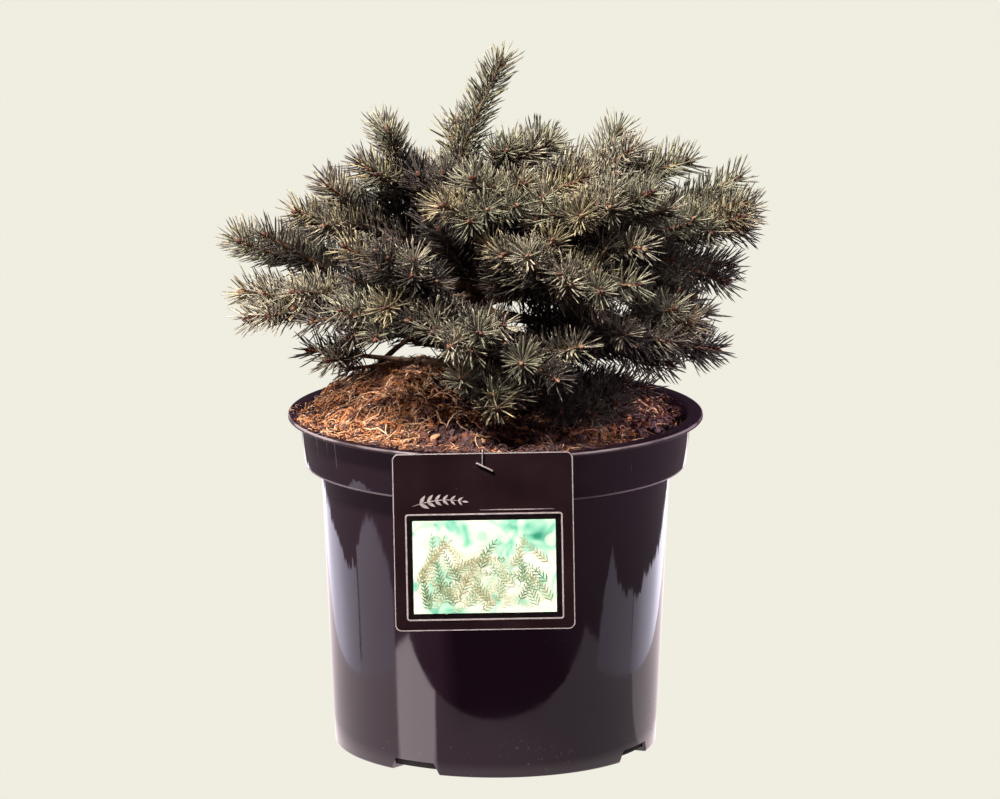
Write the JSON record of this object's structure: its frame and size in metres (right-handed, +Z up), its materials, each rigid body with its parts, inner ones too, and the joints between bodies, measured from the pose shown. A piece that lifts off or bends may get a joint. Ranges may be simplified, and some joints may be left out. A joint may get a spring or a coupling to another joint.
{
  "type": "potted dwarf blue spruce",
  "caption": "Dwarf globe spruce with a short leaning trunk, spreading boughs and needled shoots, in a round black nursery pot of coir mulch with a hanging card.",
  "frame": {"origin": "middle of the pot's flat underside, on the surface that the pot stands on", "axes": "+Z up along the pot's axis, -Y towards the viewer and the hanging card, +X to the viewer's right"},
  "size_m": [0.3089, 0.2675, 0.3964],
  "materials": {
    "pot_plastic": "smooth glossy black injection-moulded plastic with light scuffs",
    "coir_mulch": "loose matte coconut fibre and bark crumbs over potting soil",
    "bark": "rough matte brown bark with peg-like leaf bases",
    "needles": "waxy grey-green needles on orange-brown twigs",
    "label_card": "printed plastic card with a soft sheen",
    "label_tie": "clear to grey nylon fastener"
  },
  "bodies": {
    "root": {"pot": "pot_plastic", "potting_mulch": "coir_mulch", "trunk": "bark", "bough_left_far": "bark", "bough_left_high": "bark", "bough_left_crest": "bark", "bough_right_crest": "bark", "bough_right_far": "bark", "bough_right_low": "bark", "bough_right_front": "bark", "bough_left_low": "bark", "bough_left_front": "bark", "bough_front_left": "bark", "bough_front_crest": "bark", "bough_front_high": "bark", "bough_front_mid": "bark", "bough_front_low": "bark", "bough_front_skirt": "bark", "bough_right_skirt": "bark", "bough_back_right": "bark", "bough_back_mid": "bark", "bough_back_left": "bark", "bough_back_side": "bark", "bough_back_crest": "bark", "bough_back_high": "bark", "bough_back_skirt": "bark", "bough_back_foot": "bark", "bough_crown": "bark", "shoots_left_far": "needles", "shoots_left_high": "needles", "shoots_left_crest": "needles", "shoots_right_crest": "needles", "shoots_right_far": "needles", "shoots_right_low": "needles", "shoots_right_front": "needles", "shoots_left_low": "needles", "shoots_left_front": "needles", "shoots_front_left": "needles", "shoots_front_crest": "needles", "shoots_front_high": "needles", "shoots_front_mid": "needles", "shoots_front_low": "needles", "shoots_front_skirt": "needles", "shoots_right_skirt": "needles", "shoots_back_right": "needles", "shoots_back_mid": "needles", "shoots_back_left": "needles", "shoots_back_side": "needles", "shoots_back_crest": "needles", "shoots_back_high": "needles", "shoots_back_skirt": "needles", "shoots_back_foot": "needles", "shoots_crown": "needles", "shoots_leader": "needles", "label_card": "label_card", "label_tie": "label_tie"}
  },
  "joints": []
}
